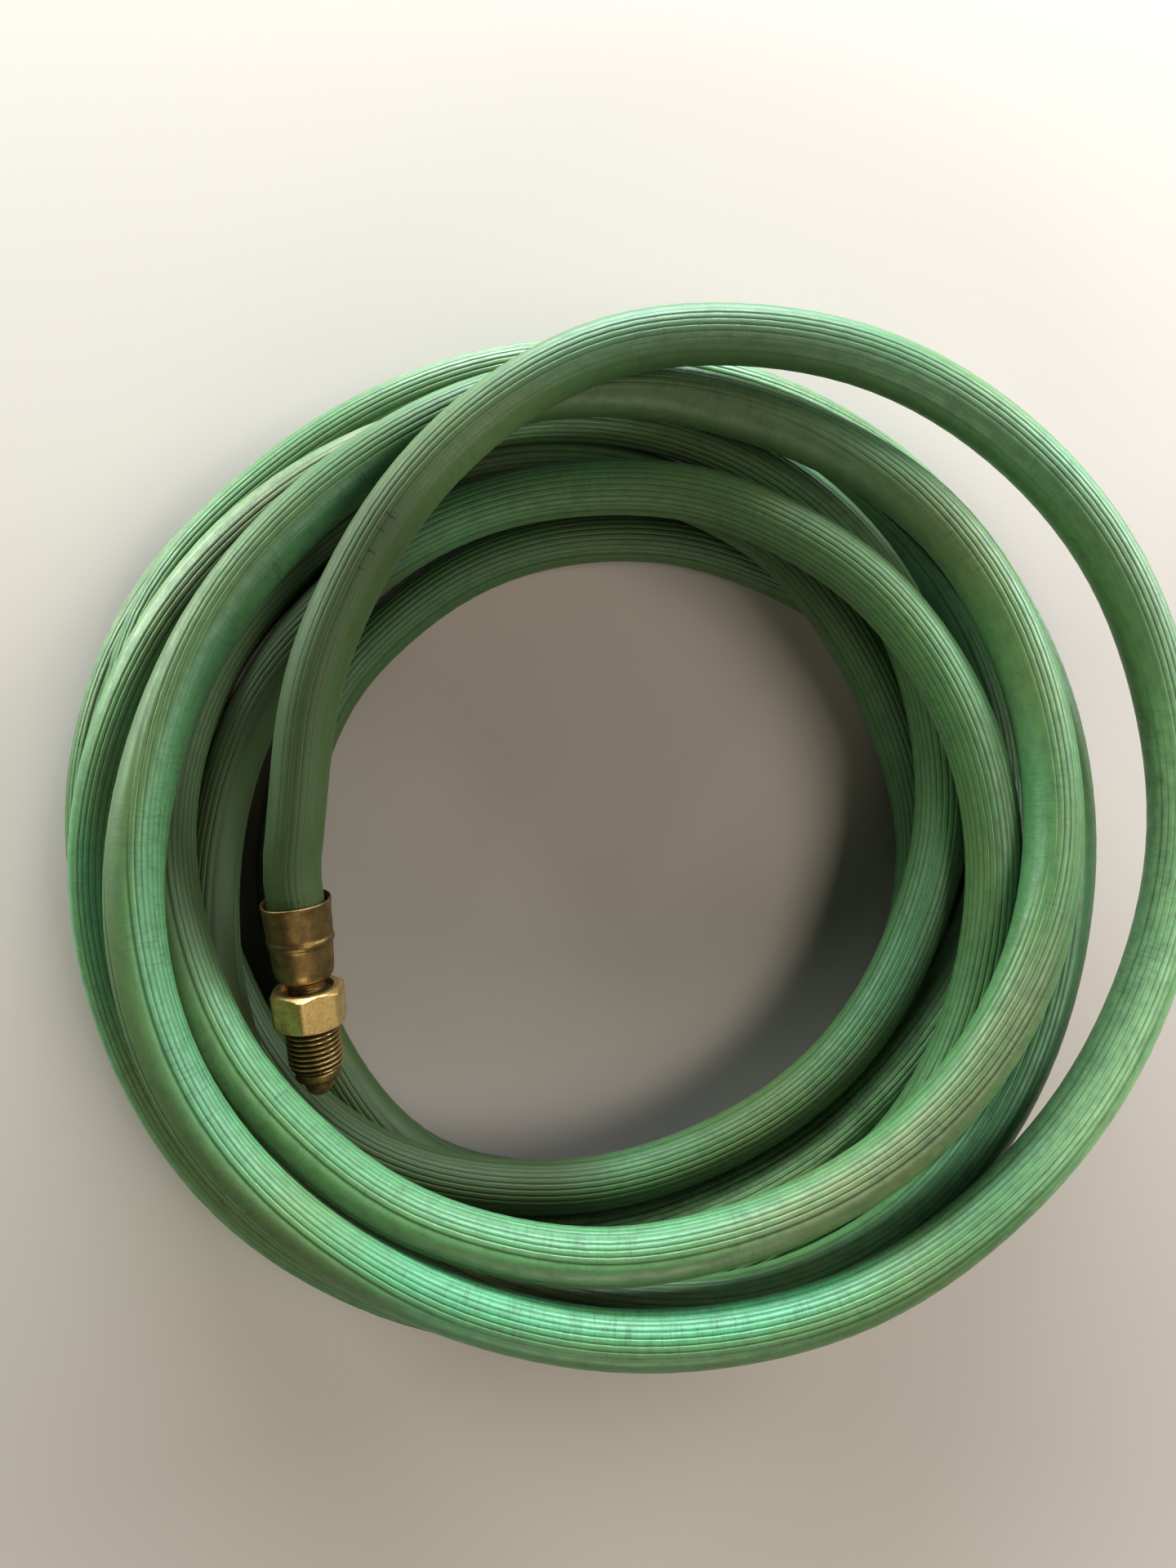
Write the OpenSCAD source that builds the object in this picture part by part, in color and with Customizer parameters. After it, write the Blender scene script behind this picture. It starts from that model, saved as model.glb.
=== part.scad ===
// Coiled gas and air hose with a swivel nut fitting at each end.
// Millimetres, +Z up, origin at the middle of the footprint on the surface it lies on.

/* [Hose] */
// Outer diameter of the hose
hose_d = 14.4; // [14:0.1:14.8]
// Bore of the hose
bore_d = 6.35; // [6:0.05:6.8]
// Outer diameter of the inner tube
liner_d = 9.4; // [9:0.1:9.8]
// Outer diameter over the braid
braid_d = 10.6; // [10.2:0.1:11]

/* [Coil] */
// Inner radius of the coil's outline
coil_ri = 80; // [78:0.5:82]
// Outer radius of the coil's outline
coil_ro = 144; // [142:0.5:148]
// Height of the coil's crown
coil_top = 45; // [42:0.5:46]
// Height of the low inner step under the visible fitting
coil_step = 20; // [16:0.5:22]
// Middle of the coil along X
coil_x = -9.8; // [-12:0.1:-8]

/* [Fittings] */
// Nut size across flats
nut_af = 17.46; // [17:0.01:18]
// Length of the nut's hexagon
hex_l = 10.3; // [9.5:0.1:10.8]
// Major diameter of the male thread
thread_d = 14.28; // [14:0.01:14.4]
// Thread pitch
pitch = 1.411; // [1.35:0.001:1.45]
// Diameter of the nipple inside the nut
spigot_d = 9.5; // [9.2:0.05:9.7]
// Radial running clearance between nut and nipple
run_gap = 0.05; // [0.02:0.01:0.08]
// Gas passage through the nipple
port_d = 3.2; // [2.6:0.1:3.4]
// Diameter of the collar in front of the nut
collar_d = 11.74; // [11.4:0.02:12]
// Outer diameter of the ferrule's mouth
mouth_d = 18.2; // [17.8:0.1:18.6]

/* [Placement] */
// Nose-down tilt of the fitting that lies on the coil
tilt_a = 13; // [12:0.5:14]
// Heading of that fitting's nose, degrees from +X
head_a = -86; // [-88:1:-84]
// Heading of the other fitting's nose, degrees from +X
head_b = 83; // [81:1:85]
// Turn of the first nut about its axis
turn_a = -2; // [-30:1:30]
// Turn of the second nut about its axis
turn_b = 30; // [0:1:60]

/* [Hidden] */

green = [0.20, 0.38, 0.26];
black = [0.08, 0.08, 0.08];
yarn  = [0.72, 0.70, 0.62];
brass = [0.66, 0.54, 0.28];
brass_dull = [0.48, 0.38, 0.22];

// the two ferrule mouths: the hose goes in here
mouth_a = [-79.5, -14.5, 44];
mouth_b = [-117, 3.5, 10.4];

// stations along a fitting, from the ferrule's mouth towards the nose
s_butt   = 20.2;                  // the hose's cut end
s_ferr   = 21.5;                  // end of the ferrule
s_nut    = 23.5;                  // back face of the nut
s_hex    = s_nut + hex_l;         // front face of the hexagon
s_crest  = s_hex + 0.9;           // first thread crest
crests   = 8;
s_front  = s_crest + (crests - 1) * pitch + 0.3 + 1.2;
s_collar = s_front + 0.2;
s_nose   = s_collar + 2.9;
s_tip    = s_nose + 4.3;
rt = thread_d / 2;
rr = rt - 0.87;
crest_w = 0.3;

// places a fitting: its own +Z runs from the mouth to the nose
module at_a() translate(mouth_a) rotate([0, 90 + tilt_a, head_a]) children();
module at_b() translate(mouth_b) rotate([0, 90, head_b]) children();

// unit vector from a fitting's mouth back along the hose
back_a = [-sin(90 + tilt_a) * cos(head_a), -sin(90 + tilt_a) * sin(head_a), -cos(90 + tilt_a)];

// the loose end of the hose: out of the first ferrule, over the coil's left
// and back, down round the right, and up on to the coil at the front
tail_route = [
  mouth_a,
  mouth_a + 16 * back_a,
  [-77, 19, 51], [-72, 40, 54], [-62, 66, 57], [-44, 90, 58], [-20, 110, 58],
  [5, 121, 57], [33, 126, 54], [60, 122, 51], [86, 111, 48], [108, 96, 45],
  [126, 76, 43], [139, 50, 41], [146, 20, 40], [146, -12, 40], [138, -39, 41],
  [123, -66, 43], [101, -90, 45], [76, -107, 48], [46, -119, 50],
  [14, -124, 52], [-20, -120, 50], [-50, -109, 44], [-72, -96, 37]
];
tail_sides = 10;

// a closed tube of n-sided rings along a list of points, no steeper than 60 degrees
function unit(v) = v / norm(v);
function heading(p, i) =
  i == 0 ? unit(p[1] - p[0]) :
  i == len(p) - 1 ? unit(p[i] - p[i - 1]) :
  unit(unit(p[i] - p[i - 1]) + unit(p[i + 1] - p[i]));
function side_of(t) = unit(cross([0, 0, 1], t));
function ring(c, t, r, n) =
  let (a = side_of(t), b = cross(t, a))
  [for (k = [0 : n - 1]) c + r * (cos(360 * k / n) * a + sin(360 * k / n) * b)];
module tube(p, r, n) {
  m = len(p);
  pts = [for (i = [0 : m - 1]) for (q = ring(p[i], heading(p, i), r, n)) q];
  walls = [for (i = [0 : m - 2]) for (k = [0 : n - 1])
           for (f = [[i * n + k, (i + 1) * n + k, i * n + (k + 1) % n],
                     [i * n + (k + 1) % n, (i + 1) * n + k, (i + 1) * n + (k + 1) % n]]) f];
  cap0 = [for (k = [1 : n - 2]) [0, k, k + 1]];
  cap1 = [for (k = [1 : n - 2]) [(m - 1) * n, (m - 1) * n + k + 1, (m - 1) * n + k]];
  polyhedron(points = pts, faces = concat(walls, cap0, cap1), convexity = 10);
}

// outline of the wound turns, turned about the coil's middle, with a cavity
// underneath that leaves the second fitting free
module hose_coil() color(green)
  difference() {
    translate([coil_x, 0, 0])
      rotate_extrude($fn = 180)
        polygon([
          [coil_ri + 4, 0], [coil_ro - 6, 0], [coil_ro, 7], [coil_ro, 23],
          [coil_ro - 4, 30], [130, 36], [124, coil_top], [110, coil_top],
          [104, coil_top - 7], [102, coil_step], [coil_ri + 6, coil_step],
          [coil_ri, coil_step - 6], [coil_ri, 5]
        ]);
    at_b() translate([0, 0, -2]) cylinder(r = 11.3, h = 66, $fn = 64);
    translate([mouth_b[0], mouth_b[1], 0]) rotate([0, 0, head_b])
      translate([-2, -11.3, -1]) cube([66, 22.6, mouth_b[2] + 1]);
  }

module hose_tail_a() color(green) tube(tail_route, hose_d / 2, tail_sides);

// the three layers of the hose inside a ferrule, from a station to the cut end
module layer(ri, ro, s0) translate([0, 0, s0]) difference() {
  cylinder(r = ro, h = s_butt - s0, $fn = 72);
  translate([0, 0, -1]) cylinder(r = ri, h = s_butt - s0 + 2, $fn = 72);
}
// the cover narrows a little into the crimp
module cover(s0) rotate_extrude($fn = 72)
  polygon([[braid_d / 2, s0], [hose_d / 2, s0], [hose_d / 2 - 0.06, 11.6], [hose_d / 2 - 0.12, 16.5],
           [hose_d / 2 - 0.3, 17.2], [hose_d / 2 - 0.3, s_butt], [braid_d / 2, s_butt]]);

module liner_a() color(black) at_a() layer(bore_d / 2, liner_d / 2, 0);
module braid_a() color(yarn) at_a() layer(liner_d / 2, braid_d / 2, 0);
module cover_a() color(green) at_a() cover(0);
module liner_b() color(black) at_b() layer(bore_d / 2, liner_d / 2, -2);
module braid_b() color(yarn) at_b() layer(liner_d / 2, braid_d / 2, -2);
module cover_b() color(green) at_b() cover(-2);

// thin sleeve: flared mouth, tapered skirt, one crimp bead, rounded shoulder
module ferrule() rotate_extrude($fn = 96)
  polygon([
    [mouth_d / 2 - 0.55, 0], [mouth_d / 2 - 0.1, 0], [mouth_d / 2, 0.35],
    [mouth_d / 2 - 0.3, 2.4], [mouth_d / 2 - 0.5, 6], [mouth_d / 2 - 0.75, 9.3],
    [mouth_d / 2 - 0.55, 9.8], [mouth_d / 2 - 0.46, 10.4], [mouth_d / 2 - 0.58, 11],
    [mouth_d / 2 - 0.95, 11.5], [8.0, 14], [7.75, 17.5], [7.55, 19], [7.2, 20.1],
    [6.6, 20.9], [5.9, 21.35], [5.2, s_ferr], [spigot_d / 2, s_ferr],
    [spigot_d / 2, s_butt], [hose_d / 2 - 0.3, s_butt], [hose_d / 2 - 0.3, 17.2],
    [hose_d / 2 - 0.12, 16.5], [hose_d / 2 - 0.06, 11.6], [hose_d / 2 + 0.45, 9], [hose_d / 2 + 0.95, 4]
  ]);
module ferrule_a() color(brass_dull) at_a() ferrule();
module ferrule_b() color(brass_dull) at_b() ferrule();

// one turned piece: barbed shank, spigot that the nut turns on, collar, bullet nose
barbs = 5;
module nipple() rotate_extrude($fn = 96)
  polygon(concat(
    [[port_d / 2, 1.2]],
    [for (i = [0 : barbs - 1]) for (q = [[2.95, 1.2 + 3.2 * i], [3.5, 3.9 + 3.2 * i], [3.5, 4.2 + 3.2 * i]]) q],
    [[3.0, 17.4], [3.0, s_butt], [spigot_d / 2, s_butt], [spigot_d / 2, s_ferr + 0.9],
     [spigot_d / 2 - 0.5, s_ferr + 1.1], [spigot_d / 2 - 0.5, s_ferr + 1.6],
     [spigot_d / 2, s_ferr + 1.8], [spigot_d / 2, s_collar],
     [collar_d / 2 - 0.25, s_collar], [collar_d / 2, s_collar + 0.25],
     [collar_d / 2, s_nose - 0.5], [collar_d / 2 - 0.5, s_nose], [4.0, s_nose],
     [3.95, s_nose + 0.9], [3.7, s_nose + 2.1], [3.3, s_nose + 3.1],
     [2.7, s_nose + 3.9], [2.1, s_tip], [port_d / 2, s_tip]]));
module nipple_a() color(brass) at_a() nipple();
module nipple_b() color(brass) at_b() nipple();

// hexagon with chamfered corners and a dished back, and the male thread
module nut() difference() {
  union() {
    intersection() {
      translate([0, 0, s_nut]) cylinder(r = nut_af / 2 / cos(30), h = hex_l, $fn = 6);
      rotate_extrude($fn = 96) polygon([
        [0, s_nut - 1], [8.2, s_nut - 1], [8.2, s_nut], [10.6, s_nut + 1.3],
        [10.6, s_hex - 1.3], [8.2, s_hex], [8.2, s_hex + 1], [0, s_hex + 1]]);
    }
    rotate_extrude($fn = 96) polygon(concat(
      [[0, s_hex - 1], [rr, s_hex - 1], [rr, s_crest - 0.45]],
      [for (i = [0 : crests - 1]) for (q = [
        [rt, s_crest + i * pitch], [rt, s_crest + i * pitch + crest_w],
        [rr, s_crest + i * pitch + crest_w + 0.45],
        [rr, s_crest + (i + 1) * pitch - 0.45]])
        if (i < crests - 1 || q[0] == rt) q],
      [[rr + 0.2, s_front - 0.3], [rr, s_front], [0, s_front]]));
  }
  translate([0, 0, s_nut - 1]) cylinder(r = spigot_d / 2 + run_gap, h = s_front - s_nut + 2, $fn = 96);
  rotate_extrude($fn = 96)
    polygon([[0, s_nut - 1], [6.9, s_nut - 1], [6.9, s_nut], [6.4, s_nut + 1.7], [4.2, s_nut + 2.1], [0, s_nut + 2.1]]);
}
module nut_a() color(brass) at_a() rotate([0, 0, turn_a]) nut();
module nut_b() color(brass) at_b() rotate([0, 0, turn_b]) nut();

hose_coil();
hose_tail_a();
liner_a();
braid_a();
cover_a();
ferrule_a();
nipple_a();
nut_a();
liner_b();
braid_b();
cover_b();
ferrule_b();
nipple_b();
nut_b();
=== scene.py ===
import math

import bpy
import bmesh
import numpy as np
from mathutils import Matrix, Vector


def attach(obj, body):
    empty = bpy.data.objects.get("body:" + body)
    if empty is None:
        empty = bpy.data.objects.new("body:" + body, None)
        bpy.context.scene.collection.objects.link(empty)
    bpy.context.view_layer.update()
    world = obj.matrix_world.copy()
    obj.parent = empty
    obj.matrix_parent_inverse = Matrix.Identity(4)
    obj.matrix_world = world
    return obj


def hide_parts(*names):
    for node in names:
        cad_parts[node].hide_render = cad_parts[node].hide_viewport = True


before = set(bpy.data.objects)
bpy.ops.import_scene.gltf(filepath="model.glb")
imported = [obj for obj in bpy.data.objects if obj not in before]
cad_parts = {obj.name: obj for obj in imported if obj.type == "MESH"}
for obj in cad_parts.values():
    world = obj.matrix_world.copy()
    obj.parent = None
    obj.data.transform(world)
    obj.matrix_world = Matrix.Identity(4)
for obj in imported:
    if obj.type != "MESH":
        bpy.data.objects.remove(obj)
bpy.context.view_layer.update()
MM = 0.001

# ---------------------------------------------------------------- camera
# straight down on the coil, a little behind its middle
cam_data = bpy.data.cameras.new("camera")
cam_data.lens = 26.25
cam_data.sensor_width = 36.0
cam_data.sensor_fit = "AUTO"
cam_data.clip_start = 0.01
cam_data.clip_end = 20.0
cam = bpy.data.objects.new("camera", cam_data)
cam.location = (-0.005, 0.015, 0.335)
cam.rotation_euler = (0.0, 0.0, 0.0)
bpy.context.scene.collection.objects.link(cam)
bpy.context.scene.camera = cam

# ---------------------------------------------------------------- the two fittings' places, as in part.scad
HOSE_D = 14.4
R = HOSE_D / 2
MOUTH_A = np.array([-79.5, -14.5, 44.0])
MOUTH_B = np.array([-117.0, 3.5, 10.4])
TILT_A, HEAD_A, TURN_A = 13.0, -86.0, -2.0
TILT_B, HEAD_B, TURN_B = 0.0, 83.0, 30.0
S_BUTT, S_FERR, S_NUT, HEX_L, PITCH = 20.2, 21.5, 23.5, 10.3, 1.411
S_HEX = S_NUT + HEX_L
S_CREST = S_HEX + 0.9
CRESTS = 8
S_FRONT = S_CREST + (CRESTS - 1) * PITCH + 0.3 + 1.2
S_COLLAR = S_FRONT + 0.2
S_NOSE = S_COLLAR + 2.9
S_TIP = S_NOSE + 4.3
THREAD_R = 14.28 / 2
ROOT_R = THREAD_R - 0.87


def placement(mouth, tilt, head):
    """A fitting's own frame: +Z from the ferrule's mouth to the nose. Millimetres in, metres out."""
    return (
        Matrix.Translation(Vector(mouth) * MM)
        @ Matrix.Rotation(math.radians(head), 4, "Z")
        @ Matrix.Rotation(math.radians(90 + tilt), 4, "Y")
        @ Matrix.Scale(MM, 4)
    )


AT_A = placement(MOUTH_A, TILT_A, HEAD_A)
AT_B = placement(MOUTH_B, TILT_B, HEAD_B)


def along(at, s):
    """The point at station s on a fitting's axis, in millimetres."""
    return np.array(at @ Vector((0, 0, s))) / MM


# ---------------------------------------------------------------- the hose's route
# (clockwise angle from -X about the middle of the footprint, radius, height), in millimetres
ROUTE = [
    # turn 1
    (-0, 79, 47.5), (15, 79, 51), (30, 83, 54.5), (45, 89, 56.5), (60, 98, 58), (75, 109, 58.5),
    (90, 120.5, 57.5), (105, 129.5, 54.5), (120, 138, 50.5), (135, 144, 46), (150, 147.5, 43), (165, 148, 40.5),
    (180, 147, 40), (195, 143, 41), (210, 138, 43.5), (225, 133, 46), (240, 129, 49), (255, 125, 51),
    (270, 122, 52.5), (285, 119.5, 54), (300, 119, 54.5), (315, 119.5, 54.5), (330, 119.5, 54.5), (345, 118.5, 53.5),
    # turn 2
    (360, 116.5, 52), (375, 114.5, 50), (390, 113.5, 48.5), (405, 113, 47), (420, 114, 45.5), (435, 115.5, 45),
    (450, 116, 43.5), (465, 115.5, 43), (480, 116.5, 43), (495, 117.5, 44), (510, 116, 45), (525, 113.5, 46),
    (540, 111.5, 47.5), (555, 109.5, 49), (570, 107.5, 49.5), (585, 105.5, 49.5), (600, 103.5, 50), (615, 102.5, 50),
    (630, 103, 50), (645, 103.5, 49.5), (660, 105, 48.5), (675, 106.5, 46.5), (690, 109.5, 44), (705, 112, 40.5),
    # turn 3
    (720, 115, 36), (735, 116, 31), (750, 115, 26.5), (765, 112.5, 22.5), (780, 110.5, 20.5), (795, 107, 19.5),
    (810, 102, 19.5), (825, 97, 20), (840, 93.5, 20.5), (855, 89, 20), (870, 87, 17), (885, 87.5, 14.5),
    (900, 89.5, 13), (915, 91, 11), (930, 92.5, 9), (945, 93.5, 8), (960, 94, 7.5), (975, 96.5, 7),
    (990, 100, 7), (1005, 104, 7), (1020, 107, 7), (1035, 104, 7), (1050, 99.5, 7), (1065, 95.5, 7),
    # turn 4
    (1080, 92.5, 7), (1095, 89.5, 7), (1110, 88, 7), (1125, 86, 7), (1140, 85.5, 7), (1155, 85.5, 7),
    (1170, 86, 7), (1185, 87.5, 7), (1200, 89.5, 7), (1215, 93.5, 7), (1230, 97.5, 7), (1245, 101, 7),
    (1260, 104.5, 7), (1275, 109.5, 7), (1290, 113.5, 7), (1305, 116.5, 7), (1320, 120, 7), (1335, 124, 7),
    (1350, 128.5, 7), (1365, 133, 7), (1380, 136.5, 7), (1395, 139.5, 7), (1410, 142, 7), (1425, 144, 7),
    # turn 5
    (1440, 145.5, 7), (1455, 145.5, 7), (1470, 143.5, 7), (1485, 139, 7), (1500, 135.5, 7), (1515, 131, 7.5),
    (1530, 126, 8), (1545, 121.5, 9.5), (1560, 117.5, 12), (1575, 115, 14.5), (1590, 112.5, 17.5), (1605, 111, 19.5),
    (1620, 108.5, 21), (1635, 105.5, 21.5), (1650, 103.5, 21), (1665, 103.5, 20.5), (1680, 105, 20), (1695, 107.5, 19),
    (1710, 112, 16.5), (1725, 117, 12.5), (1740, 121.5, 9.5), (1755, 125, 8), (1770, 127.5, 9), (1785, 130, 10.5),
    # turn 6
    (1800, 133, 13), (1815, 134.5, 16), (1830, 134, 18.5), (1845, 132, 20), (1860, 131, 21.5), (1875, 130.5, 22),
    (1890, 129, 22), (1905, 127.5, 22), (1920, 126.5, 22), (1935, 125.5, 22.5), (1950, 125, 23), (1965, 125, 24),
    (1980, 124.5, 26), (1995, 124.5, 28), (2010, 125, 31), (2025, 125.5, 33.5), (2040, 125, 36), (2055, 123.5, 37),
    (2070, 121, 36.5), (2085, 119.5, 35.5), (2100, 118.5, 34), (2115, 116.5, 32), (2130, 113, 29.5), (2145, 109, 26.5),
    # turn 7
    (2160, 105.5, 25), (2175, 102.5, 25), (2190, 99.5, 25.5), (2205, 97, 27), (2220, 95.5, 29), (2235, 94, 31.5),
    (2250, 93, 34.5), (2265, 93.5, 37), (2280, 93.5, 39.5), (2295, 94.5, 41.5), (2310, 95.5, 42.5), (2325, 97.5, 41.5),
    (2340, 100, 39), (2355, 103, 36), (2370, 107, 33), (2385, 111.5, 29.5), (2400, 115, 25.5), (2415, 120.5, 23),
    (2430, 127.5, 21.5), (2445, 134, 21.5), (2460, 138, 21.5), (2475, 140.5, 22.5), (2490, 140.5, 23.5), (2505, 139, 25.5),
    # turn 8
    (2520, 136.5, 28), (2535, 132.5, 30), (2550, 128.5, 31), (2565, 124, 31.5), (2580, 119.5, 31.5), (2595, 116, 30.5),
    (2610, 113, 29.5), (2625, 109.5, 29), (2640, 105.5, 28.5), (2655, 101, 28.5), (2670, 96.5, 27.5), (2685, 92.5, 26.5),
    (2700, 89.5, 25.5), (2715, 87, 24.5), (2730, 86.5, 23.5), (2745, 87, 23), (2760, 88, 22.5), (2775, 90, 22),
    (2790, 93.5, 22), (2805, 97.5, 22), (2820, 102.5, 22.5), (2835, 107.5, 20.5), (2850, 111.5, 15), (2865, 115, 11),
]


def cubic(x, y, at):
    """Natural cubic spline through (x, y), for each column of y."""
    n = len(x)
    h = np.diff(x)
    a = np.zeros((n, n))
    b = np.zeros((n, y.shape[1]))
    a[0, 0] = a[-1, -1] = 1
    for i in range(1, n - 1):
        a[i, i - 1 : i + 2] = h[i - 1], 2 * (h[i - 1] + h[i]), h[i]
        b[i] = 6 * ((y[i + 1] - y[i]) / h[i] - (y[i] - y[i - 1]) / h[i - 1])
    m = np.linalg.solve(a, b)
    k = np.clip(np.searchsorted(x, at, side="right") - 1, 0, n - 2)
    t = (at - x[k])[:, None]
    hk = h[k][:, None]
    return (
        y[k]
        + t * ((y[k + 1] - y[k]) / hk - hk * (2 * m[k] + m[k + 1]) / 6)
        + t**2 * m[k] / 2
        + t**3 * (m[k + 1] - m[k]) / (6 * hk)
    )


def respaced(line, step):
    along_ = np.r_[0, np.cumsum(np.linalg.norm(np.diff(line, axis=0), axis=1))]
    n = int(round(along_[-1] / step)) + 1
    at = np.linspace(0, along_[-1], n)
    return np.stack([np.interp(at, along_, line[:, k]) for k in range(3)], 1)


def spline_line(points, step):
    """A smooth line through the points, at an even step."""
    for _ in range(2):
        x = np.r_[0, np.cumsum(np.linalg.norm(np.diff(points, axis=0), axis=1))]
        fine = cubic(x, points, np.linspace(0, x[-1], int(x[-1] / 0.8)))
    return respaced(fine, step)


def closest(p, i, j):
    """Closest points of segments i and j of the line p."""
    p1, d1, p2, d2 = p[i], p[i + 1] - p[i], p[j], p[j + 1] - p[j]
    r = p1 - p2
    a, e, f = (d1 * d1).sum(1), (d2 * d2).sum(1), (d2 * r).sum(1)
    c, b = (d1 * r).sum(1), (d1 * d2).sum(1)
    den = a * e - b * b
    s = np.where(den > 1e-9, np.clip((b * f - c * e) / np.maximum(den, 1e-9), 0, 1), 0.5)
    t = np.clip((b * s + f) / e, 0, 1)
    s = np.clip((b * t - c) / a, 0, 1)
    d = p1 + d1 * s[:, None] - p2 - d2 * t[:, None]
    return s, t, d, np.sqrt((d * d).sum(1))


def near_pairs(p, reach):
    mid = (p[:-1] + p[1:]) / 2
    out = []
    for k in range(0, len(mid), 200):
        d2 = ((mid[k : k + 200, None, :] - mid[None, :, :]) ** 2).sum(2)
        i, j = np.nonzero(d2 < reach * reach)
        i = i + k
        keep = j - i > 9
        out.append(np.stack([i[keep], j[keep]], 1))
    return np.concatenate(out)


def settle(p, pinned, rounds=160):
    """Moves turns that cut into each other apart, keeps them off the floor and off the fittings, and keeps the line smooth."""
    n = len(p)
    rest = p.copy()
    d2 = np.zeros((n - 2, n))
    for i in range(n - 2):
        d2[i, i : i + 3] = 1, -2, 1
    smooth = np.linalg.inv(np.eye(n) + 3.0 * d2.T @ d2)
    rods = [(along(AT_A, 0), along(AT_A, S_TIP), 9.6, slice(14, n)), (along(AT_B, 0), along(AT_B, S_TIP), 9.9, slice(0, n - 14))]
    for it in range(rounds):
        if it % 10 == 0:
            pairs = near_pairs(p, HOSE_D * 1.3 + 8)
            i, j = pairs[:, 0], pairs[:, 1]
        moved = p - rest
        p = rest + smooth @ moved
        for _ in range(3):
            s, t, d, far = closest(p, i, j)
            deep = HOSE_D + 0.05 - far
            m = deep > 0
            push = 0.4 * (deep[m] / np.maximum(far[m], 1e-6))[:, None] * d[m]
            acc, cnt = np.zeros_like(p), np.zeros(n)
            for idx, w, sign in ((i[m], 1 - s[m], 1), (i[m] + 1, s[m], 1), (j[m], 1 - t[m], -1), (j[m] + 1, t[m], -1)):
                np.add.at(acc, idx, sign * push * w[:, None])
                np.add.at(cnt, idx, w)
            p = p + acc / np.maximum(cnt, 0.7)[:, None]
            for p0, p1, rod, part in rods:
                axis = p1 - p0
                q = p[part]
                k = np.clip(((q - p0) @ axis) / (axis @ axis), 0, 1)
                away = q - p0 - k[:, None] * axis
                dist = np.linalg.norm(away, axis=1)
                close = R + rod - dist
                hit = close > 0
                q = q.copy()
                q[hit] += 0.5 * (close[hit] / np.maximum(dist[hit], 1e-6))[:, None] * away[hit]
                p[part] = q
            p[:, 2] = np.maximum(p[:, 2], R + 0.02)
            p[pinned] = rest[pinned]
    return p


def hose_line():
    first = [along(AT_A, s) for s in (20.0, 14.0, 7.0, 0.0, -7.0)]
    last = [along(AT_B, s) for s in (-7.0, 0.0, 7.0, 14.0, 20.0)]
    turns = []
    for angle, radius, height in ROUTE:
        a = math.radians(angle)
        turns.append((-radius * math.cos(a), radius * math.sin(a), height))
    line = spline_line(np.array(first + turns + last, float), 7.0)
    # the ends are straight where the ferrules hold them
    pinned = np.zeros(len(line), bool)
    pinned[:5] = pinned[-5:] = True
    line = settle(line, pinned)
    return line


line = hose_line()
i, j = near_pairs(line, HOSE_D * 1.3 + 8).T
worst = HOSE_D - closest(line, i, j)[3].min()
RING_STEP = 6.3
rings = spline_line(line, RING_STEP)
LENGTH = float(np.linalg.norm(np.diff(rings, axis=0), axis=1).sum())
print(f"hose: {len(rings)} rings, {LENGTH:.0f} mm, deepest cut between turns {worst:.2f} mm, height {rings[:, 2].max() + R:.1f} mm")


# ---------------------------------------------------------------- helpers
def new_object(name, mesh, body):
    obj = bpy.data.objects.new(name, mesh)
    bpy.context.scene.collection.objects.link(obj)
    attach(obj, body)
    return obj


def smoothstep(x):
    x = np.clip(x, 0, 1)
    return x * x * (3 - 2 * x)


# ---------------------------------------------------------------- the hose's cross-section
# angles round the hose, from the middle of the wide smooth band: two smooth bands, two ribbed ones
RIB = 12.4
GROOVE = 0.3
BANDS = [("smooth", -50, 87), ("ribs", 37, 7), ("smooth", 123.8, 62.2), ("ribs", 186, 10)]


def section():
    """(angles, depths under the surface of the smooth bands) round the hose."""
    out = []
    for kind, start, size in BANDS:
        if kind == "smooth":
            n = round(size / 10.5)
            out += [(start + size * (k + 0.5) / n, 0.0) for k in range(n)]
        else:
            for k in range(size):
                out += [(start + RIB * (k + f), d) for f, d in ((0.0, GROOVE), (0.13, 0.06), (0.27, 0.0), (0.73, 0.0), (0.87, 0.06))]
            out.append((start + RIB * size, GROOVE))
    out = np.array(out)
    return out[:, 0], out[:, 1]


SEC_A, SEC_D = section()

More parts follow.
